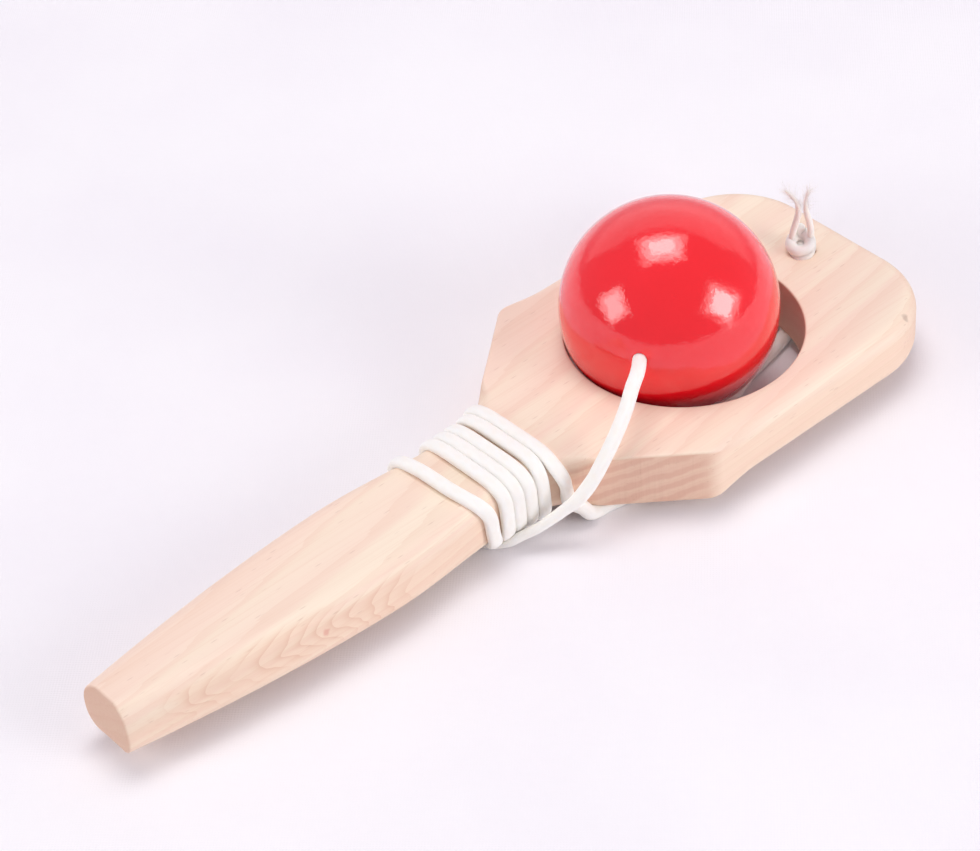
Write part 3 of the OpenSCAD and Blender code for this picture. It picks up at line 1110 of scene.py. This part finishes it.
    def winding(self) -> Array:
        """Works out the cord's middle line round the neck, from the lead's end to the run's end.

        The section is a rounded square (superellipse) as wide as the neck at each place. A turn moves on by
        one pitch: a share of it over the top, a share down the near side and the rest underneath. The first
        turn lies back from the others, the last two part a little from them over the top, and the last one
        runs off towards the head.

        Returns:
            Points of the winding, n by 3.
        """
        angle = np.arange(self.wind_from, 360.0 * self.turns + 1.0, self.wind_step)
        turn = np.floor((angle - self.wind_from) / 360.0)
        part = angle - 360.0 * turn
        cosine, sine = np.cos(np.radians(part)), np.sin(np.radians(part))
        over = np.where(part < 0, 0.0, np.where(part > 180, 1.0, (1 - self.squared(cosine)) / 2))
        down = np.where(part < 90, 0.0, (1 - self.squared(sine)) / 2)
        under = (1 + self.squared(cosine)) / 2
        under = np.where(part < 0, under - 1.0, np.where(part > 180, under, 0.0))
        under_share = 1 - self.top_share - self.near_share
        moved = self.top_share * over + self.near_share * down + under_share * under
        bow = self.first_bow * (1 - ramp(angle, *self.bow_ramp))
        starts, ends = self.parting_ramps
        parted = ramp(part, *starts) * ramp(part, *ends)
        run = self.last_run * ramp(angle, *self.last_ramp)
        run = run + self.parting * parted * (turn >= self.parts_after)
        x = self.wind_x - bow + run + self.pitch * (turn + moved)
        out = mix(self.tight, self.seat, smooth(-sine * 2.0))
        reach = self.paddle.half_width(x) + out * np.sqrt(1 + self.paddle.half_slope(x) ** 2)
        half = self.paddle.thickness / 2
        z = self.paddle.under + half + (half + out) * self.squared(sine)
        line = np.stack((x, reach * self.squared(cosine), z), axis=1)
        first = line[0] + self.width * unit(line[0] - line[1])
        last = line[-1] + self.width * unit(line[-1] - line[-2])
        return np.concatenate((first[None], line, last[None]))

    def under_run(self) -> Array:
        """Works out the run from the knot at the tip, down through the small hole and along under the head.

        Returns:
            Control points from the tip to just short of the winding, n by 3.
        """
        rise_x = self.paddle.tip_hole_x + self.rise_off
        bend = np.radians(np.linspace(0.0, 90.0, 6))
        back = rise_x - self.rise_bend * (1 - np.cos(bend))
        height = self.lie + self.rise_bend * (1 - np.sin(bend))
        curve = np.stack((back, np.zeros_like(back), height), axis=1)
        run = self.from_hole([(x, y, (*z, self.lie)[0]) for x, y, *z in self.run_points])
        start = np.array([(rise_x, 0.0, self.paddle.top + above) for above in self.rise_ends])
        return np.concatenate((start, curve, run[::-1]))

    def relief(self, walked: Array, angle: Array) -> Array:
        """Gives the braid's height: the higher of two sets of strands that wind opposite ways."""
        lay = 2 * np.pi * walked / self.braid_lay
        return np.maximum(np.cos(self.strands * angle + lay), np.cos(self.strands * angle - lay))

    def tube(
        self, surface: Surface, path: Array, guide: Array, deep: Array, wide: Array, sides: int,
        square: Array = 2.0,
    ) -> None:
        """Carries the cord's section along a path.

        A point is the path's place plus deep times the cosine of an angle, away from the guide and the path,
        plus wide times its sine, along the guide. Cosine and sine are bent towards a square where the cord is
        pressed flat. The braid lifts the point a little, and the ends close in a dome.

        Args:
            surface: where the points and faces go.
            path: middle line, evenly spaced, n by 3.
            guide: direction that the section's wide side follows, 3 or n by 3.
            deep: half thickness, one number or n.
            wide: half width, one number or n.
            sides: points round the section.
            square: squareness of the section, one number or n; 2 is round.
        """
        walked = walk(path)[:, None]
        tangent = unit(np.gradient(path, axis=0))
        away = unit(np.cross(np.broadcast_to(guide, path.shape), tangent))
        side = np.cross(tangent, away)
        angle = circle(sides)
        height = self.relief(walked, angle)
        cap = np.clip(np.minimum(walked, walked[-1] - walked) / (self.width / 2), 0.0, 1.0)
        dome = np.sqrt(np.clip(1 - (1 - cap) ** 2, 0.01, 1.0))
        size = dome * (1 + self.braid_height * height)
        deep, wide, square = (
            np.broadcast_to(np.asarray(value, float).reshape(-1, 1), walked.shape)
            for value in (deep, wide, square)
        )
        waves = (np.cos(angle), np.sin(angle))
        cosine, sine = (np.sign(wave) * np.abs(wave) ** (2.0 / square) for wave in waves)
        grid = (
            path[:, None]
            + (size * deep * cosine)[..., None] * away[:, None]
            + (size * wide * sine)[..., None] * side[:, None]
        )
        grid[..., 2] = np.maximum(grid[..., 2], self.table_gap)
        # the braid's hollows are kept with the points for their painted shade
        rows = surface.add(grid, hollow=smooth(0.5 - 0.9 * height))
        surface.skin(rows, ring_columns=True)
        surface.close(rows[0, ::-1])
        surface.close(rows[-1])

    def build_wound(self) -> Thing:
        """Makes the cord from the tip's knot to the winding's first turn as one piece.

        Returns:
            The cord's object.
        """
        turns = self.winding()[::-1]
        path = smooth_path(np.concatenate((self.under_run(), turns)), self.step)
        tuck = smooth_path(self.from_hole(self.tuck_points[:-2]), 1.0)
        apart = np.linalg.norm(path[:, None, :2] - tuck[:, :2], axis=2).min(axis=1)
        pressed = smooth(1.0 - apart / self.tuck_reach) * (path[:, 2] < self.paddle.under)
        path[:, 2] += self.tuck_lift * pressed
        walked = walk(path)
        join = walked[np.argmin(np.linalg.norm(path - turns[0], axis=1))]
        wound = smooth((walked - join + self.flat_before) / self.flat_over)[:, None]
        guide = unit(mix(np.array((0.0, 1.0, 0.0)), np.array((1.0, 0.0, 0.0)), wound))
        radius = self.width / 2
        deep = radius * mix(1.0, self.flat_share, wound) * (1.0 - self.tuck_press * pressed[:, None])
        first = smooth((walked - walked[-1] + self.first_length) / self.flat_over)[:, None]
        wide = radius * mix(1.0, mix(self.wide_share, self.first_share, first), wound)
        square = mix(2.0, self.squared_section, wound)
        surface = Surface()
        self.tube(surface, path, guide, deep, wide, self.sides, square)
        cord = surface.piece("wound_cord", self.finish, Slot.COTTON)
        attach(cord, Body.PADDLE.value)
        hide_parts("cord_winding", "cord_under_run")
        self.wound_path = path * MM
        self.wound_length = float(walked[-1]) * MM
        self.wound_start = path[-1]
        log.info("wound cord: %.1f mm", walked[-1])
        return cord

    def build_lead(self) -> Thing:
        """Makes the free lead from the winding to the ball and on through the bore to its knot.

        Returns:
            The lead's object.
        """
        axis = np.array(self.ball.bore_axis)
        centre = np.array(self.ball.centre)
        top = centre + (self.ball.radius + self.blend_past) * axis
        tuck = self.from_hole(self.tuck_points)
        inside = [centre + at * axis for at in (self.ball.radius, *self.bore_points)]
        route = np.concatenate((tuck[::-1], self.from_hole(self.lead_points)[::-1], inside))
        path = smooth_path(route, self.step)
        outside = path[:, 0] < self.ball.centre[0] - self.ball.radius
        low, under = (
            (ramp(path[:, 2], *heights) * outside)[:, None] for heights in (self.low_ramp, self.tuck_ramp)
        )
        guide = unit(mix(np.array(self.exit_guide), np.array(self.low_guide), low))
        guide = unit(mix(guide, np.array(self.tuck_guide), under))
        radius = self.width / 2
        deep = radius * mix(mix(self.exit_share, self.low_share, low), self.tuck_shares[0], under)
        wide = radius * mix(mix(self.exit_share, 1.0, low), self.tuck_shares[1], under)
        surface = Surface()
        self.tube(surface, path, guide, deep, wide, self.sides)
        lead = surface.piece("ball_lead_cord", self.finish, Slot.COTTON)
        top * MM
        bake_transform(lead)
        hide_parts("ball_lead", "cord_in_ball")
        self.lead_path = path * MM
        self.lead_length = float(walk(path)[-1]) * MM
        log.info("lead: %.1f mm", self.lead_length / MM)
        return lead

    def build_knot(self, name: str, base: Array, axes: Array, body: Body, node: str) -> Thing:
        """Makes a tied knot: up from the hole, round in its mouth, round in a leaning ring, up at its back.

        Args:
            name: the piece's name.
            base: middle of the hole's mouth.
            axes: two directions along the face and the one away from it, as rows.
            body: the body that it rides on.
            node: the solid that it replaces.

        Returns:
            The knot's object.
        """
        angle = np.linspace(*self.knot_angles)
        outer = ramp(angle, *self.knot_open_ramp)
        reach = mix(*self.knot_reach, outer)
        across = outer[:, None] * self.knot_shift + reach[:, None] * compass(np.radians(angle))
        back = across @ np.array(self.knot_back) - self.knot_middle + self.knot_reach[1]
        climb = self.knot_climb * ramp(angle, *self.knot_climb_ramp)
        lift = mix(*self.knot_lifts, outer) + self.knot_lean * back * outer + climb
        ring = np.concatenate((across, lift[:, None]), axis=1)
        rise = ring[-1] + np.array(self.knot_rise)
        local = smooth_path(np.concatenate((self.knot_start, ring, rise)), self.knot_step)
        radius = self.width / 2 * self.knot_share
        guide = axes[2] + self.knot_tilt * axes[0]
        surface = Surface()
        self.tube(surface, base + local @ axes, guide, radius, radius, sides=24)
        knot = surface.piece(name, self.finish, Slot.COTTON)
        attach(knot, body.value)
        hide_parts(node)
        log.info("%s: %d points", name, surface.count)
        return knot

    def build_tail(self) -> list[Thing]:
        """Makes the frayed tail: two plies that rise out of the knot, and the fibres that they open into.

        Returns:
            The plies' object and the fibres' object.
        """
        plies, loose = Surface(), Surface()
        dice = np.random.default_rng(self.fibre_seed)
        count = self.fibre_count
        spot_from, spot_over = self.fibre_spots
        for route in self.ply_routes:
            path = smooth_path(np.array(route) + self.knot_at, self.knot_step)
            share = walk(path) / walk(path)[-1]
            size = self.ply_width / 2 * mix(1.0, self.ply_tip, ramp(share, *self.ply_ramp))
            self.tube(plies, path, np.array(self.ply_guide), size, size, sides=12)
            spot = (len(path) * (spot_from + spot_over * dice.random(count))).astype(int)
            tangent = unit(np.gradient(path, axis=0))[spot]
            start = path[spot] + dice.normal(0.0, self.ply_width * self.fibre_scatter, (count, 3))
            way = unit(tangent + dice.normal(0.0, self.fibre_spread, (count, 3)))
            way = way * dice.uniform(*self.fibre_length, (count, 1))
            bend = dice.normal(0.0, self.fibre_curl, (count, 3)) - np.array((0.0, 0.0, self.fibre_sag))
            self.fibres(loose, start, way, bend)
        tail = plies.piece("tip_frayed_tail", self.finish, Slot.COTTON)
        fluff = loose.piece("tip_tail_fluff", self.fluff, Slot.COTTON)
        for piece in (tail, fluff):
            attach(piece, Body.PADDLE.value)
            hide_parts("tip_tail")
        log.info("tail: %d points", plies.count + loose.count)
        return [tail, fluff]

    def fibres(self, surface: Surface, start: Array, way: Array, bend: Array) -> None:
        """Adds fibres: four-sided tubes along start + way * t + bend * t^2 / 2, half as thick at the end.

        Args:
            surface: where they go.
            start: their starts, n by 3.
            way: their way at the start, as long as they are, n by 3.
            bend: how they bend aside by their end, n by 3.
        """
        t = np.linspace(0.0, 1.0, 6)[:, None]
        line = start[:, None] + way[:, None] * t + bend[:, None] * t**2 / 2
        side = unit(np.cross(way, self.fibre_guide))
        away = unit(np.cross(way, side))
        angle = circle(4)
        size = (self.fibre_radius * (1 - 0.5 * t))[None, :, :, None]
        spoke = np.cos(angle)[:, None] * away[:, None, None] + np.sin(angle)[:, None] * side[:, None, None]
        grid = line[:, :, None] + size * spoke
        for fibre in surface.add(grid, hollow=np.full(grid.shape[:-1], 0.2)):
            surface.skin(fibre, ring_columns=True)

    def build(self) -> None:
        """Makes all of the cord's pieces."""
        wound = self.build_wound()
        lead = self.build_lead()
        tip_knot = self.build_knot("tip_knot_tied", self.knot_at, np.eye(3), Body.PADDLE, "tip_knot")
        axes = self.ball.axes()
        floor = np.array(self.ball.centre) + self.ball.recess_floor * axes[2]
        turned = np.stack((axes[1], axes[0], -axes[2]))
        ball_knot = self.build_knot("ball_knot_tied", floor, turned, Body.CORD_END, "ball_knot")
        tail = self.build_tail()
        self.width * MM
        (self.wound_start * MM).tolist()
        self.width * MM


@dataclass(frozen=True)
class Lamp:
    """A soft lamp of panes one before the other, so that it is brightest in its middle.

    The way goes from the toy to the lamp. A pane has a width and a height in metres and a power in watts. The
    twist turns the panes about the lamp's own axis, in degrees.
    """

    name: str
    way: Point
    panes: tuple[Point, ...]
    twist: float = 0.0


@dataclass
class Studio:
    """The camera, the pale sheet and three soft lamps. Places are in metres, the sheet's sizes in mm."""

    camera_at: Point = (-0.2990278, -0.3748225, 0.4374450)
    right: Point = (0.7476266, -0.6611307, -0.0629337)
    up: Point = (0.4698465, 0.4595728, 0.7536823)
    lens: float = 107.29
    sensor: float = 36.0
    sight: float = 20.0
    target: Point = (0.0526, 0.0010, 0.025)
    sheet_front: float = -3000.0
    sheet_middle: float = 400.0
    sheet_half: float = 2500.0
    bend_from: float = 1000.0
    bend_radius: float = 600.0
    wall_height: float = 2700.0
    lamp_distance: float = 1.2
    pane_gap: float = 0.01
    lamps: tuple[Lamp, ...] = (
        Lamp("top", (0.066, 0.190, 0.978), ((0.93, 0.76, 2.6), (0.7, 0.56, 2.4), (0.44, 0.34, 1.45))),
        Lamp("left", (-0.895, 0.289, 0.341), ((0.6, 0.63, 2.5), (0.4, 0.42, 1.1)), 28.0),
        Lamp("right", (0.306, -0.884, 0.348), ((0.98, 0.8, 0.9), (0.76, 0.62, 2.3), (0.5, 0.42, 3.0)), -20.0),
    )
    surround: Colour = (0.93, 0.89, 1.0)
    surround_strength: float = 0.42

    def build_camera(self) -> None:
        """Sets the camera where the photograph was taken from."""
        data = bpy.data.cameras.new("camera")
        data.sensor_fit = "HORIZONTAL"
        data.sensor_width = self.sensor
        data.lens = self.lens
        data.clip_end = self.sight
        camera = show("camera", data)
        camera.matrix_world = stand(self.right, self.up, np.cross(self.right, self.up), self.camera_at)
        bpy.context.scene.camera = camera

    def build_sheet(self, finish: Material) -> None:
        """Lays the pale sheet: level in front, bending up in a quarter circle behind.

        Args:
            finish: the sheet's material.
        """
        turn = np.linspace(0.0, np.pi / 2, 25)
        along = self.bend_from + self.bend_radius * np.sin(turn)
        bend = np.stack((along, self.bend_radius * (1 - np.cos(turn))), axis=1)
        level = [(place, 0.0) for place in (self.sheet_front, -self.sheet_middle, self.sheet_middle)]
        wall = [(self.bend_from + self.bend_radius, self.wall_height)]
        profile = np.concatenate((level, bend, wall))
        back = unit(np.array((self.up[0], self.up[1], 0.0)))
        side = np.array((back[1], -back[0], 0.0))
        reach = np.array((-self.sheet_half, -self.sheet_middle, self.sheet_middle, self.sheet_half))
        grid = profile[:, None, :1] * back + profile[:, None, 1:] * (0.0, 0.0, 1.0) + reach[:, None] * side
        surface = Surface()
        surface.skin(surface.add(grid))
        surface.form("pale_sheet", finish)

    def hang(self, lamp: Lamp) -> None:
        """Hangs one lamp, pane by pane, facing the toy.

        Args:
            lamp: the lamp.
        """
        out = unit(np.array(lamp.way))
        level = unit(np.array(self.right) - out * float(np.dot(self.right, out)))
        angle = np.radians(lamp.twist)
        side = np.cos(angle) * level + np.sin(angle) * np.cross(out, level)
        for number, (width, height, watts) in enumerate(lamp.panes):
            data = bpy.data.lights.new(f"{lamp.name}_{number}", "AREA")
            data.shape = "RECTANGLE"
            data.size, data.size_y, data.energy = width, height, watts
            place = np.array(self.target) + (self.lamp_distance - self.pane_gap * number) * out
            show(data.name, data).matrix_world = stand(side, np.cross(out, side), out, place)

    def build_light(self) -> None:
        """Hangs the three soft lamps and sets a dim, faintly lavender surround."""
        for lamp in self.lamps:
            self.hang(lamp)
        world = bpy.data.worlds.new("surround")
        world.use_nodes = True
        ground = world.node_tree.nodes["Background"]
        ground.inputs[0].default_value = (*self.surround, 1.0)
        ground.inputs[1].default_value = self.surround_strength
        bpy.context.scene.world = world
        bpy.context.scene.view_settings.view_transform = "Standard"


def main() -> None:
    """Builds the camera, the cord, the paddle, the ball and the studio."""
    logging.basicConfig(level=logging.INFO, format="%(name)s: %(message)s")
    studio = Studio()
    studio.build_camera()
    paddle = Paddle(Beech().make())
    ball = Ball(Lacquer().make())
    Cord(paddle, ball, Cotton().make(), Fluff().make()).build()
    paddle.build()
    ball.build()
    studio.build_sheet(PaleSheet().make())
    studio.build_light()


if __name__ == "__main__":
    main()
